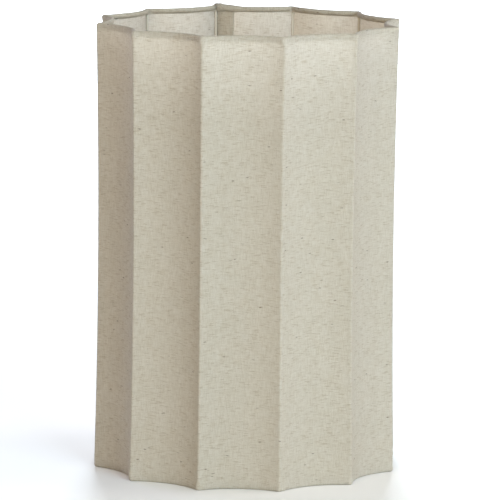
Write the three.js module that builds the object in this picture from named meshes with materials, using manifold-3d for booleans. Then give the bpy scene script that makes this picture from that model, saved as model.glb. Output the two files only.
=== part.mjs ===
// A tall scalloped lamp shade: linen stretched over a twelve-pointed wire frame.
// Two bent rings are held apart by twelve rib wires, one in each point. The cloth is one strip, wrapped
// round the ribs and folded over both rings. Three arms, welded to ribs below the top rim, carry the
// ring that the lamp holder clamps. Millimetres, +Z up, with the origin on the table below the middle
// of the shade and one point each on +X, +Y, -X and -Y.
import * as THREE from "three";
import Module from "manifold-3d";
import { mergeVertices } from "three/addons/utils/BufferGeometryUtils.js";

// Overall shape
const height = 450;
const pointRadius = 156; // axis to the cloth at a point, at either rim
const pointCount = 12;
const scallopDepth = 10.5; // straight line between two points, in to the cloth midway
const waist = 3; // how far the stretched cloth draws the points in at half height

// Stock
const clothThickness = 0.7;
const ringWire = 3;
const ribWire = 2.5;
const armWire = 4;
const seatGap = 0.3; // left between pieces that touch on the real shade

// Cloth
const pointBend = 4.4; // radius of the cloth where it turns round a point
const hemDepth = 7; // how far down from the rim the folded edge ends inside

// Fitter, for an E27 lamp holder
const fitterDrop = 110; // top rim down to the underside of the fitter ring
const fitterHole = 42;
const fitterOuter = 62;
const fitterSheet = 1.5;
const fitterCollar = 6; // height of the ring's upturned edge
const armPoints = [1, 5, 9]; // the points whose ribs carry an arm, counted from +X

// Smoothness
const bendSteps = 4; // round a point
const scallopSteps = 6; // from one point to the next
const wireSides = 8;
const waistSteps = 4; // up a rib
const roundSteps = 48;

// Outside of the cloth folded over a ring: the fold is wide enough for the ends of the ribs too.
const hemRadius = Math.max(ringWire, ribWire) / 2 + seatGap + clothThickness;
const ringInset = hemRadius; // cloth face to the centre of a ring
const ribInset = clothThickness + seatGap + ribWire / 2; // cloth face to the centre of a rib
const sharpestBend = 0.3; // left on the inside of a point, where the bend's own radius runs out
const halfStep = Math.PI / pointCount;
const hollowRadius = pointRadius * Math.cos(halfStep) - scallopDepth;

// The scallop arcs pass through the hollows and run smoothly into the bends round the points.
const bendCentre = pointRadius - pointBend;
const lean = bendCentre * Math.cos(halfStep);
const scallopRadius =
  (hollowRadius ** 2 + bendCentre ** 2 - 2 * hollowRadius * lean - pointBend ** 2) /
  (2 * (lean + pointBend - hollowRadius));
const scallopCentre = hollowRadius + scallopRadius;

// The scale in plan at height z that draws the shade in to its waist.
function drawIn(z) {
  const share = THREE.MathUtils.clamp(z / height, 0, 1);
  return 1 - (waist / pointRadius) * 4 * share * (1 - share);
}

// A point on a circle whose centre lies at `out` in the direction `facing`.
function onCircle(out, radius, facing, angle) {
  const x = out + radius * Math.cos(angle);
  const y = radius * Math.sin(angle);
  return new THREE.Vector2(x, y).rotateAround(new THREE.Vector2(), facing);
}

// The closed line that lies `inset` inside the face of the cloth, counter-clockwise from the +X point.
function outline(inset) {
  const bend = Math.max(pointBend - inset, sharpestBend);
  const arc = scallopRadius + inset;
  const across = scallopCentre * Math.sin(halfStep);
  const along = Math.sqrt((arc + bend) ** 2 - across ** 2);
  const turn = Math.atan2(across, along);
  const sweep = turn - halfStep;
  const points = [];
  for (let k = 0; k < pointCount; k++) {
    const facing = 2 * halfStep * k;
    for (let i = 0; i <= bendSteps; i++) {
      const angle = turn * ((2 * i) / bendSteps - 1);
      points.push(onCircle(scallopCentre * Math.cos(halfStep) - along, bend, facing, angle));
    }
    for (let i = 1; i < scallopSteps; i++) {
      const angle = Math.PI - sweep * ((2 * i) / scallopSteps - 1);
      points.push(onCircle(scallopCentre, arc, facing + halfStep, angle));
    }
  }
  return points;
}

// A closed band that follows the scallops. Its section is a list of [inset, z], going round it.
function scallopedBand(section) {
  const loops = section.map(([inset, z]) => outline(inset).map((p) => p.multiplyScalar(drawIn(z))));
  const around = loops[0].length;
  const positions = loops.flatMap((loop, row) => loop.flatMap((p) => [p.x, p.y, section[row][1]]));
  const index = [];
  for (let row = 0; row < loops.length; row++) {
    const nextRow = (row + 1) % loops.length;
    for (let i = 0; i < around; i++) {
      const j = (i + 1) % around;
      const [a, b] = [row * around + i, row * around + j];
      const [c, d] = [nextRow * around + j, nextRow * around + i];
      index.push(a, b, c, a, c, d);
    }
  }
  const geometry = new THREE.BufferGeometry();
  geometry.setAttribute("position", new THREE.Float32BufferAttribute(positions, 3));
  geometry.setIndex(index);
  geometry.computeVertexNormals();
  return geometry;
}

// The section of a wire, flat above and below.
function wireSection(radius) {
  return Array.from({ length: wireSides }, (_, i) => {
    const angle = (2 * Math.PI * (i + 0.5)) / wireSides;
    return new THREE.Vector2(Math.cos(angle), Math.sin(angle)).multiplyScalar(radius);
  });
}

// The linen: a wall outside the ribs, folded over both rings and a little way down inside them.
function linenGeometry() {
  const inside = hemRadius - clothThickness;
  const halfFlat = (radius) => radius * Math.tan(Math.PI / 8);
  const fold = (radius) => [
    [ringInset + radius, hemRadius - halfFlat(radius)],
    [ringInset + halfFlat(radius), hemRadius - radius],
    [ringInset - halfFlat(radius), hemRadius - radius],
    [ringInset - radius, hemRadius - halfFlat(radius)],
  ];
  const wall = Array.from({ length: waistSteps - 1 }, (_, i) => (height * (i + 1)) / waistSteps);
  const lowerHalf = [
    [ringInset + inside, hemDepth],
    [ringInset + hemRadius, hemDepth],
    ...fold(hemRadius),
  ];
  const lining = fold(inside);
  const flipped = (points) => points.map(([inset, z]) => [inset, height - z]).reverse();
  return scallopedBand([
    ...lowerHalf,
    ...wall.map((z) => [0, z]),
    ...flipped(lowerHalf),
    ...flipped(lining).reverse(),
    ...wall.reverse().map((z) => [clothThickness, z]),
    ...lining.reverse(),
  ]);
}

// A ring wire, with its centre at height z.
function ringGeometry(z) {
  return scallopedBand(wireSection(ringWire / 2).map((p) => [ringInset - p.x, z + p.y]));
}

// A rib wire on the +X point, butted between the rings and drawn in to the waist.
function ribGeometry() {
  const end = hemRadius + ringWire / 2 + seatGap;
  const geometry = new THREE.ExtrudeGeometry(new THREE.Shape(wireSection(ribWire / 2)), {
    depth: height - 2 * end,
    steps: waistSteps,
    bevelEnabled: false,
  });
  geometry.translate(pointRadius - ribInset, 0, end);
  const position = geometry.attributes.position;
  for (let i = 0; i < position.count; i++) {
    const scale = drawIn(position.getZ(i));
    position.setXY(i, position.getX(i) * scale, position.getY(i) * scale);
  }
  return geometry;
}

// The pressed ring that the lamp holder clamps: a flat face inside an upturned collar.
function fitterGeometry() {
  const [hole, outer] = [fitterHole / 2, fitterOuter / 2];
  const section = [
    [hole, 0],
    [outer, 0],
    [outer, fitterCollar],
    [outer - fitterSheet, fitterCollar],
    [outer - fitterSheet, fitterSheet],
    [hole, fitterSheet],
    [hole, 0],
  ].map(([x, y]) => new THREE.Vector2(x, y));
  return new THREE.LatheGeometry(section, roundSteps).rotateX(Math.PI / 2);
}

const wasm = await Module();
wasm.setup();

function solidOf(geometry) {
  const bare = geometry.clone();
  bare.deleteAttribute("normal");
  bare.deleteAttribute("uv");
  const merged = mergeVertices(bare);
  const vertProperties = merged.attributes.position.array;
  const triVerts = new Uint32Array(merged.index.array);
  return new wasm.Manifold(new wasm.Mesh({ numProp: 3, vertProperties, triVerts }));
}

function geometryOf(solid) {
  const mesh = solid.getMesh();
  const geometry = new THREE.BufferGeometry();
  geometry.setAttribute("position", new THREE.BufferAttribute(mesh.vertProperties, 3));
  geometry.setIndex(new THREE.BufferAttribute(mesh.triVerts, 1));
  geometry.computeVertexNormals();
  return geometry;
}

// An upright post at x on the X axis, to cope the end of an arm with.
function post(radius, x) {
  const geometry = new THREE.CylinderGeometry(radius, radius, 2 * armWire, roundSteps);
  return solidOf(geometry.rotateX(Math.PI / 2).translate(x, 0, 0));
}

// An arm along +X from the collar to a rib, each end coped to the round that it is welded to.
function armGeometry(z) {
  const ribCentre = (pointRadius - ribInset) * drawIn(z);
  const bar = new THREE.CylinderGeometry(armWire / 2, armWire / 2, ribCentre, 2 * wireSides);
  const collar = post(fitterOuter / 2 + seatGap, 0);
  const rib = post(ribWire / 2 + seatGap, ribCentre);
  bar.rotateZ(Math.PI / 2).translate(ribCentre / 2, 0, 0);
  return geometryOf(solidOf(bar).subtract(collar).subtract(rib));
}

const linen = new THREE.MeshStandardMaterial({ color: 0xcfc9b8, roughness: 0.95, metalness: 0 });
const beigeWire = new THREE.MeshStandardMaterial({ color: 0xc1bcae, roughness: 0.45, metalness: 0.1 });

const shade = new THREE.Group();

// Adds one piece, modelled on the +X point, at the point with this number and raised to z.
function add(name, geometry, material, point = 0, z = 0) {
  const mesh = new THREE.Mesh(geometry, material);
  mesh.name = name;
  mesh.rotation.z = 2 * halfStep * point;
  mesh.position.z = z;
  shade.add(mesh);
}

const fitterZ = height - fitterDrop;
const armZ = fitterZ + fitterCollar / 2;

add("linen_cover", linenGeometry(), linen);
add("top_ring", ringGeometry(height - hemRadius), beigeWire);
add("bottom_ring", ringGeometry(hemRadius), beigeWire);
for (let k = 0; k < pointCount; k++) {
  add(`rib_${String(k + 1).padStart(2, "0")}`, ribGeometry(), beigeWire, k);
}
armPoints.forEach((point, i) => add(`fitter_arm_${i + 1}`, armGeometry(armZ), beigeWire, point, armZ));
add("fitter_ring", fitterGeometry(), beigeWire, 0, fitterZ);

export default shade;
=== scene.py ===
# A tall scalloped lamp shade: natural linen stretched over a twelve-pointed wire frame.
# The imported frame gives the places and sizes. Metres, +Z up, standing on the floor at z = 0.
import bmesh
import bpy
import math
from mathutils import Matrix, Vector, noise


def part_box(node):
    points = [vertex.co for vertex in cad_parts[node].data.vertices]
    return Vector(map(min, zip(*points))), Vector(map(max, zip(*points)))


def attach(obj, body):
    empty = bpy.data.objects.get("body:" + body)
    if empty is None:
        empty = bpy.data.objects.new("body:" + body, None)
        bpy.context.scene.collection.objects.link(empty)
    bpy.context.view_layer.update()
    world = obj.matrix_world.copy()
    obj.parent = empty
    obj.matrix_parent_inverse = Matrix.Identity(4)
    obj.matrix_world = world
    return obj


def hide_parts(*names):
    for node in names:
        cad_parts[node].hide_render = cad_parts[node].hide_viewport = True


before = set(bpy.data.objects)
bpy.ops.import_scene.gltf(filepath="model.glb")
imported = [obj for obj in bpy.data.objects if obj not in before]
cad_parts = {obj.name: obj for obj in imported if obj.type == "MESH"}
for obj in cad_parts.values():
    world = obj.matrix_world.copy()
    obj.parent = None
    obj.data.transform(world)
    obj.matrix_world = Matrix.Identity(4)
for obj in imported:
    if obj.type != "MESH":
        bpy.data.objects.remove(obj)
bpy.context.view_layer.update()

shot = {
    "azimuth": -13,     # degrees round the shade, from straight in front
    "pitch": 8.88,      # degrees down
    "roll": 0.585,
    "distance": 4.584,  # along the floor, from the shade's axis
    "side": 0.0032,     # to the right of the line to the axis
    "rise": 0.9335,     # above the floor
    "lens": 330.8,
    "sensor": 36,
}

studio = {
    "floorSize": 24,
    "floorColour": (0.93, 0.93, 0.925, 1),
    "floorRoughness": 0.7,
    "floorScale": 3.0,  # of its faint clouds
    "floorVaries": 0.05,
    "sky": (1, 0.95, 0.875, 1),
    "skyStrength": 0.2,
    # name: azimuth from the camera, elevation, distance, size, watts, colour
    "lamps": {
        "key": (28, 14, 4.5, 2.2, 165, (0.71, 0.90, 1)),
        "front": (-20, 20, 4.5, 2.5, 86, (1, 0.84, 0.65)),
        "side": (95, 14, 4.5, 3, 120, (1, 0.94, 0.92)),
        "back": (180, 10, 6.5, 2, 368, (0.81, 0.90, 1)),
        "backLeft": (225, 14, 6, 3, 110, (0.55, 0.62, 1)),
        "top": (0, 89.9, 3, 2, 12, (1, 1, 1)),
    },
}


def around(azimuth, elevation, distance):
    # a place round the shade: azimuth 0 is in front, and 90 to the right
    a, e = math.radians(azimuth), math.radians(elevation)
    level = math.cos(e)
    return Vector((math.sin(a) * level, -math.cos(a) * level, math.sin(e))) * distance


def placeCamera():
    data = bpy.data.cameras.new("camera")
    data.lens = shot["lens"]
    data.sensor_width = shot["sensor"]
    data.clip_end = 100
    camera = bpy.data.objects.new("camera", data)
    bpy.context.scene.collection.objects.link(camera)
    turn = Matrix.Rotation(math.radians(shot["azimuth"]), 4, "Z")
    tilt = Matrix.Rotation(math.radians(90 - shot["pitch"]), 4, "X")
    roll = Matrix.Rotation(math.radians(shot["roll"]), 4, "Z")
    spot = Matrix.Translation((shot["side"], -shot["distance"], shot["rise"]))
    camera.matrix_world = turn @ spot @ tilt @ roll
    bpy.context.scene.camera = camera


def placeLamps(middle):
    for name, (azimuth, elevation, distance, size, watts, colour) in studio["lamps"].items():
        data = bpy.data.lights.new(name, "AREA")
        data.shape = "SQUARE"
        data.size = size
        data.energy = watts
        data.color = colour
        lamp = bpy.data.objects.new(name, data)
        bpy.context.scene.collection.objects.link(lamp)
        out = around(azimuth + shot["azimuth"], elevation, distance)
        lamp.location = middle + out
        lamp.rotation_mode = "QUATERNION"
        lamp.rotation_quaternion = out.to_track_quat("Z", "Y")


def placeSky():
    world = bpy.data.worlds.new("studio")
    world.use_nodes = True
    background = world.node_tree.nodes["Background"]
    background.inputs["Color"].default_value = studio["sky"]
    background.inputs["Strength"].default_value = studio["skyStrength"]
    bpy.context.scene.world = world
    bpy.context.scene.view_settings.view_transform = "Standard"


def newPiece(name, bm):
    mesh = bpy.data.meshes.new(name)
    bm.to_mesh(mesh)
    bm.free()
    piece = bpy.data.objects.new(name, mesh)
    bpy.context.scene.collection.objects.link(piece)
    for face in mesh.polygons:
        face.use_smooth = True
    return piece


def layFloor():
    bm = bmesh.new()
    bmesh.ops.create_grid(bm, x_segments=1, y_segments=1, size=studio["floorSize"] / 2)
    floor = newPiece("floor", bm)
    return floor


shape = {
    "points": 12,
    "scallopDepth": 0.0105,        # straight line between two points, in to the cloth
    "rimBend": 0.0044,             # radius of the cloth round a point, at the rims
    "wallBend": 0.0021,            # and between them, where only a rib holds it out
    "bendDepth": (0.0035, 0.011),  # below a rim, where the one starts and ends turning into the other
    "sharpestBend": 0.0003,        # what is left on the inside of the hem
    "waist": 0.003,                # how far the points are drawn in at half height
}

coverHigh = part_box("linen_cover")[1]
shadeHeight = coverHigh.z
pointRadius = coverHigh.x
halfStep = math.pi / shape["points"]
hollowRadius = pointRadius * math.cos(halfStep) - shape["scallopDepth"]


def scallopArcs(inset, bend):
    # the line that lies inset inside the cloth's face, whose points turn with this bend: the bend round
    # a point, the arc of a hollow, how far out their centres lie, and the angle at which they meet
    bendCentre = pointRadius - bend
    lean = bendCentre * math.cos(halfStep)
    reach = hollowRadius ** 2 + bendCentre ** 2 - 2 * hollowRadius * lean - bend ** 2
    arc = reach / (2 * (lean + bend - hollowRadius))
    out = hollowRadius + arc
    arc += inset
    inner = max(bend - inset, shape["sharpestBend"])
    across = out * math.sin(halfStep)
    along = math.sqrt((arc + inner) ** 2 - across ** 2)
    return inner, arc, out * math.cos(halfStep) - along, out, math.atan2(across, along)


faceBend, faceArc, _, _, faceTurn = scallopArcs(0, shape["wallBend"])
bendLength = 2 * faceTurn * faceBend
scallopLength = 2 * (faceTurn - halfStep) * faceArc
period = bendLength + scallopLength
girth = shape["points"] * period


def drawIn(z):
    share = min(max(z / shadeHeight, 0), 1)
    return 1 - shape["waist"] / pointRadius * 4 * share * (1 - share)


def bendAt(z):
    sharpened = ease(min(z, shadeHeight - z), *shape["bendDepth"])
    return shape["rimBend"] + (shape["wallBend"] - shape["rimBend"]) * sharpened


def pastPoint(s):
    # how far along the cloth s is from the nearest point, and that point's number
    number = round(s / period)
    return s - number * period, number


def outlineSpot(s, inset, bend):
    # the place in plan that is s along the cloth from the +X point
    q, number = pastPoint(s)
    inner, arc, bendOut, arcOut, turn = scallopArcs(inset, bend)
    if abs(q) <= bendLength / 2:
        angle = turn * 2 * q / bendLength
        spot = Vector((bendOut + inner * math.cos(angle), inner * math.sin(angle)))
        facing = 2 * halfStep * number
    else:
        side = math.copysign(1, q)
        share = (q - side * period / 2) / (scallopLength / 2)
        angle = math.pi - (turn - halfStep) * share
        spot = Vector((arcOut + arc * math.cos(angle), arc * math.sin(angle)))
        facing = 2 * halfStep * (number + side / 2)
    spot.rotate(Matrix.Rotation(facing, 2))
    return spot


def ease(x, start, end):
    t = min(max((x - start) / (end - start), 0), 1)
    return t * t * (3 - 2 * t)


cover = {
    "thickness": 0.0007,
    "bead": 0.0025,                 # radius of the hem's fold over a ring
    "curl": 82,                     # degrees that the fold runs on under the ring
    "tuckInset": 0.0015,            # cloth face to the face of the tucked edge
    "tuckDepth": 0.0053,            # rim down to where the fold meets the wall again
    "hemDepth": 0.0061,             # rim down to the cut edge
    "overRib": 0.0042,              # cloth face to the tucked edge where it passes over a rib
    "riseOverRib": 0.0009,          # how much nearer the rim it comes down there
    "ribHalf": (0.0031, 0.0088),    # beside a rib, where the edge starts to dive and is down
    "lapWidth": 0.0212,
    "lapRise": 0.00075,             # how far the outer end stands off the inner one
    "lapRun": 0.009,                # over which the outer end climbs onto the inner one
    "turnIn": 0.0078,               # edge of the outer end, turned in under it
    "turnRun": 0.0025,              # over which it climbs onto its own turned-in edge
    "foldMiddle": 1.04,             # off the inner end to the middle of the fold, in rises
    "foldHalf": 0.96,               # and from there to the cloth's face above and below it
    "foldStops": (0.3, 0.6, 0.85, 1.15, 1.4, 1.7),  # in rises, from one rise short of the fold
    "turnSteps": 6,
    "lapPast": 0.0012,              # how far the outer end runs on round the seam's point
    "lapBulk": 0.0006,              # how much thicker the folded ends make the bead there
    "bulkMiddle": 0.42,             # where it is most, in lap widths before the seam's point
    "bulkReach": 0.011,
    "bulkShares": (0.6, 0.4, 0.9),  # that swell the bead, fold it and lift the top rim
    "ripple": 0.0003,               # waves in the wall, away from the points
    "rippleScale": (24, 9),         # per metre, across and up
    "calm": (0.0015, 0.013),        # beside a point, where the waves start and are full
    "pucker": 0.0002,               # gathers below a bead
    "puckerScale": (170, 30),
    "puckerReach": 0.016,
    "cornerPucker": 1.6,            # how much stronger they are beside a point
    "cornerScale": (260, 40),
    "cornerReach": 0.011,
    "pinch": 0.0005,                # folds of the bead at a point
    "leastPinch": 0.3,
    "pinchReach": 0.0065,
    "pinchLength": (0.003, 0.002),  # from one fold to the next, and how much that varies
    "notch": 0.0009,                # dent in the crease just below the bead
    "notchReach": 0.0019,
    "notchDepth": 0.0062,
    "notchHeight": 0.0022,
    "beadWave": 0.00014,            # how the bead's thickness varies
    "beadWaveScale": 60,
    "rimWave": 0.0003,              # how the rim's height varies
    "rimWaveScale": 22,
    "bendSteps": 8,
    "scallopSteps": 26,
    "crowding": 0.1,                # how much closer the columns of vertices lie beside the points
    "endGap": 0.0002,               # no column lies closer than this to an end
    "tailSteps": 6,
    "beadSteps": 15,
    "firstStep": 0.001,             # between rows just below a bead
    "stepGrowth": 1.25,
    "longestStep": 0.012,
    "seamPoint": 3,                 # the +Y point, counted from +X
}


def hemSection(overRib, lift, swell):
    # the fold over a ring as (inset, depth from the rim), from the cut edge to the outer wall
    bead = cover["bead"]
    radius = bead + lift + swell
    curl = math.radians(cover["curl"]) * (1 - overRib)
    tuck = cover["tuckInset"] + (cover["overRib"] - cover["tuckInset"]) * overRib + lift
    start = Vector((bead + radius * math.cos(curl), bead + radius * math.sin(curl)))
    bendSpot = Vector((tuck, cover["tuckDepth"] - cover["riseOverRib"] * overRib))
    end = Vector((tuck, cover["hemDepth"]))
    spots = []
    for i in range(cover["tailSteps"]):
        t = 1 - i / cover["tailSteps"]
        spots.append(start.lerp(bendSpot, t).lerp(bendSpot.lerp(end, t), t))
    for i in range(cover["beadSteps"] + 1):
        angle = curl - (math.pi + curl) * i / cover["beadSteps"]
        spots.append(Vector((bead + radius * math.cos(angle), bead + radius * math.sin(angle))))
    return spots


def acrossStops():
    # places along the cloth, closer together round the points and beside them
    start = cover["seamPoint"] * period - cover["lapWidth"]
    end = (cover["seamPoint"] + shape["points"]) * period + cover["lapPast"]
    stops = []
    for number in range(cover["seamPoint"] - 1, cover["seamPoint"] + shape["points"] + 1):
        for i in range(cover["bendSteps"] + 1):
            stops.append(number * period + bendLength * (i / cover["bendSteps"] - 0.5))
        for i in range(1, cover["scallopSteps"]):
            x = i / cover["scallopSteps"]
            share = x - cover["crowding"] * math.sin(2 * math.pi * x)
            stops.append(number * period + bendLength / 2 + scallopLength * share)
    inside = [s for s in stops if start + cover["endGap"] < s < end - cover["endGap"]]
    turnSteps = cover["turnSteps"]
    turned = [end + cover["turnIn"] * i / turnSteps for i in range(1, turnSteps + 1)]
    fold = [end - cover["lapRise"] * (1 - x) for x in cover["foldStops"]]
    return sorted([start, *inside, *fold, end, *turned])


def upStops(bottom, top):
    # heights up the wall between the two beads, closer together beside them
    step = cover["firstStep"]
    depths = [step]
    while step < cover["longestStep"]:
        step *= cover["stepGrowth"]
        depths.append(depths[-1] + step)
    middle = top - bottom - 2 * depths[-1]
    count = round((shadeHeight - 2 * cover["bead"] - 2 * depths[-1]) / cover["longestStep"])
    heights = [bottom + depth for depth in depths]
    heights += [bottom + depths[-1] + middle * i / count for i in range(1, count)]
    return heights + [top - depth for depth in reversed(depths)]


def wobble(s, z, acrossScale, upScale, layer):
    # smooth noise, another for each layer, that meets itself again where the cloth comes full circle
    a = 2 * math.pi * s / girth
    r = girth * acrossScale / (2 * math.pi)
    spot = Vector((r * math.cos(a), r * math.sin(a) + 7.3 * layer, z * upScale + 3.1 * layer))
    return noise.noise(spot)


def nearness(x, reach):
    # 1 at nought, falling away smoothly on both sides
    return math.exp(-((x / reach) ** 2))


def lot(number, layer):
    # a fixed random number from 0 to 1 for one point
    return noise.cell(Vector((number % shape["points"] + 0.5, layer + 0.5, 0.5)))


def coverColumn(along):
    # where the cloth stands, and its face there from the lower cut edge, up the outside, to the upper
    end = (cover["seamPoint"] + shape["points"]) * period + cover["lapPast"]
    lapStart = end - cover["lapPast"] - cover["lapWidth"]
    turnStart = end - cover["turnIn"]
    s = min(along, 2 * end - along)
    lift = cover["lapRise"] * ease(s, lapStart - cover["lapRun"], lapStart)
    lift += cover["lapRise"] * ease(s, turnStart - cover["turnRun"], turnStart)
    press = lift                   # how far the floor pushes the lower bead up
    if along > turnStart:
        # round the fold and back between the two ends of the cloth
        turn = min(max((along - end) / cover["lapRise"], -1), 1) * math.pi / 2
        lift = cover["lapRise"] * (cover["foldMiddle"] - cover["foldHalf"] * math.sin(turn))
        press = lift + cover["thickness"] * (1 + math.sin(turn)) / 2
        s = min(s, end - cover["lapRise"] * (1 - math.cos(turn)))
    q, number = pastPoint(s)
    beside = abs(q)
    overRib = 1 - ease(beside, *cover["ribHalf"])
    held = ease(beside, *cover["calm"])
    fromSeam = (s - cover["seamPoint"] * period + girth / 2) % girth - girth / 2
    fromBulk = fromSeam + cover["bulkMiddle"] * cover["lapWidth"]
    bulk = cover["lapBulk"] * nearness(fromBulk, cover["bulkReach"])
    swellShare, foldShare, riseShare = cover["bulkShares"]
    hems = []
    for rim in (0, 1):
        fold = cover["pinch"] * (cover["leastPinch"] + lot(number, rim)) + foldShare * bulk
        fold *= nearness(beside, cover["pinchReach"])
        foldLength = cover["pinchLength"][0] + cover["pinchLength"][1] * lot(number, 2 + rim)
        swell = cover["beadWave"] * wobble(s, 0, cover["beadWaveScale"], 0, 1 + rim) + swellShare * bulk
        swell += fold / 2 * math.cos(2 * math.pi * q / foldLength)
        rise = cover["rimWave"] * wobble(s, 0, cover["rimWaveScale"], 0, 5 + rim)
        rise = riseShare * bulk + rise if rim else -abs(rise) - swell - press
        hems.append([(inset, depth - rise) for inset, depth in hemSection(overRib, lift, swell)])
    column = hems[0]
    top = [(inset, shadeHeight - depth) for inset, depth in reversed(hems[1])]
    corner = cover["cornerPucker"] * nearness(beside, cover["cornerReach"])
    notch = cover["notch"] * lot(number, 4) * nearness(q, cover["notchReach"])
    for z in upStops(column[-1][1], top[0][1]):
        fromRim = min(z, shadeHeight - z)
        gather = cover["pucker"] * math.exp(-fromRim / cover["puckerReach"])
        dent = cover["ripple"] * held * wobble(s, z, *cover["rippleScale"], 7)
        dent += gather * held * wobble(s, z, *cover["puckerScale"], 8)
        dent += gather * corner * wobble(s - z, z, *cover["cornerScale"], 9)
        dent += notch * nearness(fromRim - cover["notchDepth"], cover["notchHeight"])
        column.append((dent - lift, z))
    return s, column + top


def sewCover():
    stops = acrossStops()
    columns = [coverColumn(along) for along in stops]
    across, rows = len(stops), len(columns[0][1])
    plain = hemSection(0, 0, 0)
    line = [Vector(spot) for spot in plain]
    line += [Vector((0, z)) for _, z in columns[0][1][len(plain):-len(plain)]]
    line += [Vector((spot[0], shadeHeight - spot[1])) for spot in reversed(plain)]
    ups = [0]
    for a, b in zip(line, line[1:]):
        ups.append(ups[-1] + (b - a).length)
    bm = bmesh.new()
    bmesh.ops.create_grid(bm, x_segments=across - 1, y_segments=rows - 1, size=0.5)
    uv = bm.loops.layers.uv.new("cloth")
    cloth = {}
    for vert in bm.verts:
        column = round((vert.co.x + 0.5) * (across - 1))
        row = round((vert.co.y + 0.5) * (rows - 1))
        s, spots = columns[column]
        inset, z = spots[row]
        spot = outlineSpot(s, inset, bendAt(z)) * drawIn(z)
        vert.co = (spot.x, spot.y, z)
        cloth[vert] = (stops[column] - stops[0], ups[row])
    for face in bm.faces:
        for loop in face.loops:
            loop[uv].uv = cloth[loop.vert]
    piece = newPiece("linen_sheet", bm)
    wall = piece.modifiers.new("thickness", "SOLIDIFY")
    wall.thickness = cover["thickness"]
    wall.offset = -1
    return piece, (stops[-1] - stops[0], ups[-1])


wires = {
    "ring": 0.0015,
    "rib": 0.00125,
    "arm": 0.002,
    "ringInset": 0.0025,  # cloth face to the centre of a ring
    "ribInset": 0.0020,   # and to the centre of a rib
    "ribSteps": 24,
    "bendSteps": 8,
    "scallopSteps": 20,
    "roundness": 4,
}


def asMesh(piece, name):
    # the curve with its bevel worked in, as a plain mesh in its place
    evaluated = piece.evaluated_get(bpy.context.evaluated_depsgraph_get())
    mesh = bpy.data.meshes.new_from_object(evaluated)
    made = bpy.data.objects.new(name, mesh)
    bpy.context.scene.collection.objects.link(made)
    bpy.data.objects.remove(piece)
    mesh.name = name
    return made


def wirePiece(name, path, radius, closed=False):
    curve = bpy.data.curves.new(name + "_path", "CURVE")
    curve.dimensions = "3D"
    curve.bevel_depth = radius
    curve.bevel_resolution = wires["roundness"]
    curve.use_fill_caps = not closed
    spline = curve.splines.new("POLY")
    spline.points.add(len(path) - 1)
    for point, place in zip(spline.points, path):
        point.co = (*place, 1)
    spline.use_cyclic_u = closed
    piece = bpy.data.objects.new(name + "_path", curve)
    bpy.context.scene.collection.objects.link(piece)
    made = asMesh(piece, name)
    for face in made.data.polygons:
        face.use_smooth = True
    return made


def ringWire(name, node):
    low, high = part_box(node)
    z = (low.z + high.z) / 2
    stops = []
    for number in range(shape["points"]):
        for i in range(wires["bendSteps"] + 1):
            stops.append(number * period + bendLength * (i / wires["bendSteps"] - 0.5))
        for i in range(1, wires["scallopSteps"]):
            share = i / wires["scallopSteps"] - 0.5
            stops.append((number + 0.5) * period + scallopLength * share)
    path = []
    for s in sorted(stops):
        spot = outlineSpot(s, wires["ringInset"], shape["rimBend"])
        path.append((*(spot * drawIn(z)), z))
    return wirePiece(name, path, wires["ring"], closed=True)


def ribWire(name, node, number):
    low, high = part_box(node)
    path = []
    for i in range(wires["ribSteps"] + 1):
        z = low.z + (high.z - low.z) * i / wires["ribSteps"]
        out = (pointRadius - wires["ribInset"]) * drawIn(z)
        angle = 2 * halfStep * number
        path.append((out * math.cos(angle), out * math.sin(angle), z))
    return wirePiece(name, path, wires["rib"])


fitter = {
    "hole": 0.021,                   # radius
    "sheet": 0.0015,
    "outerBend": 0.0019,             # where the sheet turns up into the collar
    "innerBend": 0.0008,
    "edge": 0.0004,
    "around": 96,
    "armPoints": (1, 5, 9),          # the points whose ribs carry an arm, counted from +X
    "armInto": 0.0004,               # how far an arm's end lies inside the collar's face
    "weld": 0.0007,                  # how much a weld stands off the arm
    "collarWeld": (0.0005, 0.0037),  # from the arm's end, where the weld starts to thin and has gone
    "ribWeld": (0.0075, 0.00334),    # from the rib's centre, where the other starts and is full
    "bareArm": (0.006, 0.01),        # from the arm's end and the rib's centre, where it is bare
    # short of the rib's centre, and the radius of the welded end there
    "armEnd": ((0.0026, 0.00242), (0.0016, 0.0018), (0.0007, 0.0012), (0.0001, 0)),
    "weldSteps": 6,
    "armSteps": 12,
    "armSides": 24,
    "weldLump": 0.00025,             # unevenness of the welds
    "lumpScale": 900,
}


def spinAround(bm, axis, steps):
    bmesh.ops.spin(
        bm, geom=bm.verts[:] + bm.edges[:], cent=(0, 0, 0), axis=axis, dvec=(0, 0, 0),
        angle=2 * math.pi, steps=steps, use_merge=True, use_duplicate=False,
    )
    bmesh.ops.remove_doubles(bm, verts=bm.verts[:], dist=0.000001)
    bmesh.ops.recalc_face_normals(bm, faces=bm.faces[:])


def profileIn(bm, spots, closed):
    verts = [bm.verts.new(spot) for spot in spots]
    for a, b in zip(verts, verts[1:]):
        bm.edges.new((a, b))
    if closed:
        bm.edges.new((verts[-1], verts[0]))


def softenRounds(bm, spots, radius, segments):
    # round off the circular edges that pass through these (radius, z) spots
    edges = []
    for edge in bm.edges:
        ends = [Vector((vert.co.xy.length, vert.co.z)) for vert in edge.verts]
        if any(all((end - Vector(spot)).length < 0.00001 for end in ends) for spot in spots):
            edges.append(edge)
    bmesh.ops.bevel(
        bm, geom=edges, offset=radius, offset_type="OFFSET", affect="EDGES",
        segments=segments, profile=0.5, material=-1, clamp_overlap=True,
    )


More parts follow.
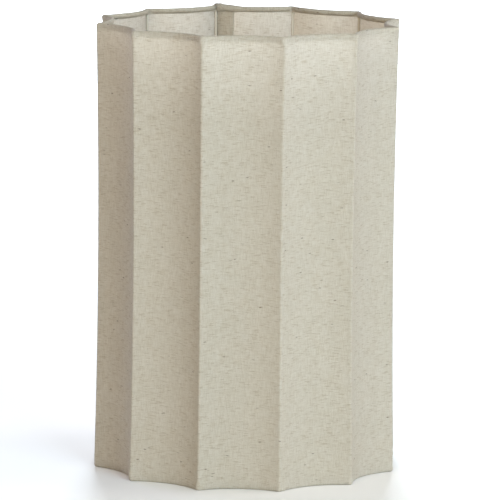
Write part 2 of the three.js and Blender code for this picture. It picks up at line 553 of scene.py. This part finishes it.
def pressFitter(name):
    low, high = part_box("fitter_ring")
    sheetTop = low.z + fitter["sheet"]
    outer = high.x
    collar = outer - fitter["sheet"]
    hole = fitter["hole"]
    spots = [(hole, low.z), (outer, low.z), (outer, high.z)]
    spots += [(collar, high.z), (collar, sheetTop), (hole, sheetTop)]
    bm = bmesh.new()
    profileIn(bm, [(x, 0, z) for x, z in spots], True)
    spinAround(bm, (0, 0, 1), fitter["around"])
    softenRounds(bm, [spots[1]], fitter["outerBend"], 4)
    softenRounds(bm, [spots[4]], fitter["innerBend"], 3)
    softenRounds(bm, [spots[0], spots[2], spots[3], spots[5]], fitter["edge"], 2)
    return newPiece(name, bm)


def weldArm(name, node, number):
    low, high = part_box(node)
    z = (low.z + high.z) / 2
    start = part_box("fitter_ring")[1].x - fitter["armInto"]
    rib = (pointRadius - wires["ribInset"]) * drawIn(z)
    radius, weld, steps = wires["arm"], fitter["weld"], fitter["weldSteps"]
    # distances along the arm and its radius there: swollen by the weld at each end
    line = [(start, 0), (start, radius + weld)]
    near, far = fitter["collarWeld"]
    for i in range(1, steps + 1):
        x = i / steps
        line.append((start + near + (far - near) * x, radius + weld * (1 - x) ** 2))
    near, far = fitter["bareArm"]
    for i in range(1, fitter["armSteps"]):
        line.append((start + near + (rib - start - near - far) * i / fitter["armSteps"], radius))
    far, near = fitter["ribWeld"]
    for i in range(steps + 1):
        x = i / steps
        line.append((rib - far + (far - near) * x, radius + weld * x ** 2))
    line += [(rib - short, r) for short, r in fitter["armEnd"]]
    bm = bmesh.new()
    profileIn(bm, [(x, 0, r) for x, r in line], False)
    spinAround(bm, (1, 0, 0), fitter["armSides"])
    turn = Matrix.Rotation(2 * halfStep * number, 3, "Z")
    for vert in bm.verts:
        rough = max(vert.co.yz.length - radius, 0) / weld
        lump = noise.noise(vert.co * fitter["lumpScale"] + Vector((number, 0, 0)))
        lump *= fitter["weldLump"] * min(rough, 1)
        if vert.co.yz.length > 0.0001:
            vert.co.yz = vert.co.yz * (1 + lump / vert.co.yz.length)
        vert.co = turn @ vert.co + Vector((0, 0, z))
    return newPiece(name, bm)


class Value:  # a shader socket that Python sums can use
    def __init__(self, recipe, socket):
        self.recipe = recipe
        self.socket = socket

    def sum(self, operation, *terms):
        return self.recipe.add("ShaderNodeMath", {"operation": operation}, terms)

    def __add__(self, other):
        return self.sum("ADD", self, other)

    def __radd__(self, other):
        return self.sum("ADD", other, self)

    def __sub__(self, other):
        return self.sum("SUBTRACT", self, other)

    def __rsub__(self, other):
        return self.sum("SUBTRACT", other, self)

    def __mul__(self, other):
        return self.sum("MULTIPLY", self, other)

    def __rmul__(self, other):
        return self.sum("MULTIPLY", other, self)

    def __truediv__(self, other):
        return self.sum("DIVIDE", self, other)

    def __rtruediv__(self, other):
        return self.sum("DIVIDE", other, self)

    def does(self, operation, *others):
        return self.sum(operation, self, *others)


class Recipe:  # one material and its nodes
    def __init__(self, name):
        self.material = bpy.data.materials.new(name)
        self.material.use_nodes = True
        self.tree = self.material.node_tree
        self.tree.nodes.clear()

    def add(self, kind, settings=None, inputs=(), output=0):
        node = self.tree.nodes.new(kind)
        for key, setting in (settings or {}).items():
            setattr(node, key, setting)
        pairs = inputs.items() if isinstance(inputs, dict) else enumerate(inputs)
        for key, given in pairs:
            if isinstance(given, Value):
                self.tree.links.new(given.socket, node.inputs[key])
            else:
                node.inputs[key].default_value = given
        return Value(self, node.outputs[output]) if node.outputs else node

    def parts(self, vector):
        split = self.add("ShaderNodeSeparateXYZ", {}, [vector]).socket.node
        return [Value(self, socket) for socket in split.outputs]

    def point(self, x=0.0, y=0.0, z=0.0):
        return self.add("ShaderNodeCombineXYZ", {}, [x, y, z])

    def noiseAt(self, place, scale, detail=2.0, dimensions="3D"):
        inputs = {"Scale": scale, "Detail": detail}
        inputs["W" if dimensions == "1D" else "Vector"] = place
        return self.add("ShaderNodeTexNoise", {"noise_dimensions": dimensions}, inputs)

    def between(self, value, low, high):
        # 0 below low, 1 above high, and smooth between
        settings = {"interpolation_type": "SMOOTHSTEP"}
        inputs = {"Value": value, "From Min": low, "From Max": high}
        return self.add("ShaderNodeMapRange", settings, inputs)

    def blend(self, factor, first, second, how="MIX"):
        settings = {"data_type": "RGBA", "blend_type": how}
        return self.add("ShaderNodeMix", settings, {0: factor, 6: first, 7: second}, output=2)

    def finish(self, surface):
        self.add("ShaderNodeOutputMaterial", {}, {"Surface": surface})
        return self.material


linen = {
    "pitch": 0.00072,               # from one thread to the next
    "sway": 1.0,                    # how many threads' widths the lines wander
    "swayScale": 35.0,              # per metre, as are the other scales
    "warpScale": 90.0,              # thick and thin places along a thread
    "weftScale": 95.0,
    "threadLot": 0.10,              # how much whole threads differ
    "warpSlubs": (0.64, 0.78),      # tones at which a thick place starts and is full
    "weftSlubs": (0.59, 0.72),
    "crossLift": 0.7,               # how high a thread rises where it crosses over
    "fleckScale": (170.0, 470.0),   # across and up
    "fleckEdge": (0.12, 0.36),      # from a fleck's middle, where it starts to fade and has gone
    "fleckLot": (0.984, 1.0),       # only a place whose lot is higher holds a fleck
    "mottleScale": 42.0,
    "tones": (0.28, 0.68),          # that show wholly pale and wholly dark
    "pale": (0.79, 0.77, 0.70, 1),
    "dark": (0.54, 0.49, 0.40, 1),
    "slubColour": (0.42, 0.34, 0.24, 1),
    "slubStrength": 0.48,
    "fleckColour": (0.17, 0.11, 0.06, 1),
    "fleckStrength": 0.85,
    "mottleDark": (0.95, 0.95, 0.94, 1),
    "mottlePale": (1.03, 1.03, 1.04, 1),
    "bumpStrength": 0.5,
    "bumpHeight": 0.00022,
    "roughness": 0.84,
    "throughColour": (0.83, 0.78, 0.705, 1),
    "through": 0.54,                # share of the light that goes on through each face of the cloth
    "heldBack": (0.22, 0.4, 0.08),  # how much less by slubs, flecks and dark thread
}


def linenFinish():
    mix = Recipe("natural_linen")
    cloth = mix.add("ShaderNodeUVMap", {"uv_map": "cloth"})
    across, up, _ = mix.parts(cloth)
    aside = mix.add("ShaderNodeVectorMath", {"operation": "ADD"}, [cloth, (3.7, 1.9, 0)])
    x = across / linen["pitch"] + mix.noiseAt(cloth, linen["swayScale"], 1.0, "2D") * linen["sway"]
    y = up / linen["pitch"] + mix.noiseAt(aside, linen["swayScale"], 1.0, "2D") * linen["sway"]
    warpRow = x.does("FLOOR")
    weftRow = y.does("FLOOR")
    warpLot = mix.add("ShaderNodeTexWhiteNoise", {"noise_dimensions": "1D"}, {"W": warpRow})
    weftLot = mix.add("ShaderNodeTexWhiteNoise", {"noise_dimensions": "1D"}, {"W": weftRow})
    differ = linen["threadLot"]
    warpPlace = up * linen["warpScale"] + warpLot * 900.0
    warpTone = mix.noiseAt(warpPlace, 1.0, 4.0, "1D") + warpLot * differ - differ / 2
    weftPlace = across * linen["weftScale"] + weftLot * 900.0
    weftTone = mix.noiseAt(weftPlace, 1.0, 4.0, "1D") + weftLot * differ - differ / 2
    # a plain weave: each thread's round top, lifted where it crosses over
    warpRound = 1.0 - (x.does("FRACT") * 2.0 - 1.0).does("POWER", 2.0)
    weftRound = 1.0 - (y.does("FRACT") * 2.0 - 1.0).does("POWER", 2.0)
    warpLift = ((y - 0.5 + warpRow) * math.pi).does("COSINE")
    weftLift = ((x + 0.5 + weftRow) * math.pi).does("COSINE")
    warpSlub = mix.between(warpTone, *linen["warpSlubs"])
    weftSlub = mix.between(weftTone, *linen["weftSlubs"])
    warpHeight = warpRound + warpLift * linen["crossLift"] + warpSlub * 0.5
    weftHeight = weftRound + weftLift * linen["crossLift"] + weftSlub * 0.8
    weftOver = mix.between(weftHeight - warpHeight, -0.15, 0.15)
    tone = warpTone + (weftTone - warpTone) * weftOver
    slub = warpSlub * 0.4 + (weftSlub - warpSlub * 0.4) * weftOver
    height = warpHeight.does("MAXIMUM", weftHeight)
    # flecks of bark spun into the yarn
    fleckAcross, fleckUp = linen["fleckScale"]
    fleckPlace = mix.point(across * fleckAcross + weftLot * 0.4, up * fleckUp)
    flecks = mix.add("ShaderNodeTexVoronoi", {"voronoi_dimensions": "2D"}, {
        "Vector": fleckPlace,
        "Scale": 1.0,
    })
    colours = Value(mix, flecks.socket.node.outputs["Color"])
    fleckLot = mix.parts(colours)[2]
    inFleck = 1.0 - mix.between(flecks, *linen["fleckEdge"])
    fleck = inFleck * mix.between(fleckLot, *linen["fleckLot"])
    mottle = mix.noiseAt(cloth, linen["mottleScale"], 3.0, "2D")
    shade = mix.between(tone, *linen["tones"])
    body = mix.blend(shade, linen["pale"], linen["dark"])
    body = mix.blend(slub * linen["slubStrength"], body, linen["slubColour"])
    body = mix.blend(fleck * linen["fleckStrength"], body, linen["fleckColour"])
    cloud = mix.blend(mottle, linen["mottleDark"], linen["mottlePale"])
    body = mix.blend(1.0, body, cloud, "MULTIPLY")
    bump = mix.add("ShaderNodeBump", {}, {
        "Strength": linen["bumpStrength"],
        "Distance": linen["bumpHeight"],
        "Height": height,
    })
    face = mix.add("ShaderNodeBsdfPrincipled", {}, {
        "Base Color": body,
        "Roughness": tone * 0.12 + linen["roughness"],
        "Sheen Weight": 0.1,
        "Sheen Roughness": 0.5,
        "Specular IOR Level": 0.25,
        "Normal": bump,
    })
    through = mix.add("ShaderNodeBsdfTranslucent", {}, {
        "Color": linen["throughColour"],
        "Normal": bump,
    })
    bySlub, byFleck, byShade = linen["heldBack"]
    share = linen["through"] - slub * bySlub - fleck * byFleck - (shade - 0.5) * byShade
    surface = mix.add("ShaderNodeMixShader", {}, [share, face, through])
    return mix.finish(surface)


coat = {
    "colour": (0.55, 0.51, 0.43, 1),
    "worn": (0.46, 0.42, 0.34, 1),
    "wear": (0.55, 0.8),  # clouds at which the worn colour starts to show and is at its most
    "wearStrength": 0.5,
    "cloudScale": 60.0,
    "roughness": 0.38,
    "roughnessVaries": 0.16,
    "peelScale": 1400.0,  # the fine unevenness of a sprayed coat
    "peelStrength": 0.2,
    "peelHeight": 0.0001,
}


def wireFinish(name):
    mix = Recipe(name)
    place = mix.add("ShaderNodeTexCoord", {}, [], output=3)  # Object
    cloud = mix.noiseAt(place, coat["cloudScale"], 3.0)
    peel = mix.noiseAt(place, coat["peelScale"], 2.0)
    wear = mix.between(cloud, *coat["wear"]) * coat["wearStrength"]
    body = mix.blend(wear, coat["colour"], coat["worn"])
    bump = mix.add("ShaderNodeBump", {}, {
        "Strength": coat["peelStrength"],
        "Distance": coat["peelHeight"],
        "Height": peel,
    })
    surface = mix.add("ShaderNodeBsdfPrincipled", {}, {
        "Base Color": body,
        "Roughness": cloud * coat["roughnessVaries"] + coat["roughness"],
        "Normal": bump,
    })
    return mix.finish(surface)


def floorFinish():
    mix = Recipe("pale_floor")
    place = mix.add("ShaderNodeTexCoord", {}, [], output=3)  # Object
    cloud = mix.noiseAt(place, studio["floorScale"], 2.0)
    surface = mix.add("ShaderNodeBsdfPrincipled", {}, {
        "Base Color": studio["floorColour"],
        "Roughness": cloud * studio["floorVaries"] + studio["floorRoughness"],
    })
    return mix.finish(surface)


def dress(piece, material):
    piece.data.materials.clear()
    piece.data.materials.append(material)


placeCamera()
placeSky()
placeLamps(Vector((0, 0, shadeHeight / 2)))
floor = layFloor()
dress(floor, floorFinish())
print("studio ready")

linenMaterial = linenFinish()
wireMaterial = wireFinish("beige_powder_coat")
print("materials mixed")

sheet, flat = sewCover()
dress(sheet, linenMaterial)
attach(sheet, "root")
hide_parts("linen_cover")
print(f"linen cover sewn from a {flat[0] * 1000:.0f} by {flat[1] * 1000:.0f} mm cut")

for node, name in (("top_ring", "top_ring_wire"), ("bottom_ring", "bottom_ring_wire")):
    ring = ringWire(name, node)
    dress(ring, wireMaterial)
    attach(ring, "root")
    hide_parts(node)
for number in range(shape["points"]):
    node = f"rib_{number + 1:02d}"
    rib = ribWire(node + "_wire", node, number)
    dress(rib, wireMaterial)
    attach(rib, "root")
    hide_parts(node)
print("rings bent and ribs cut")

for i, number in enumerate(fitter["armPoints"]):
    node = f"fitter_arm_{i + 1}"
    arm = weldArm(node + "_wire", node, number)
    dress(arm, wireMaterial)
    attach(arm, "root")
    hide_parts(node)
fitterRing = pressFitter("fitter_pressing")
dress(fitterRing, wireFinish("beige_coated_sheet"))
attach(fitterRing, "root")
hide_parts("fitter_ring")
print("fitter pressed and welded in")
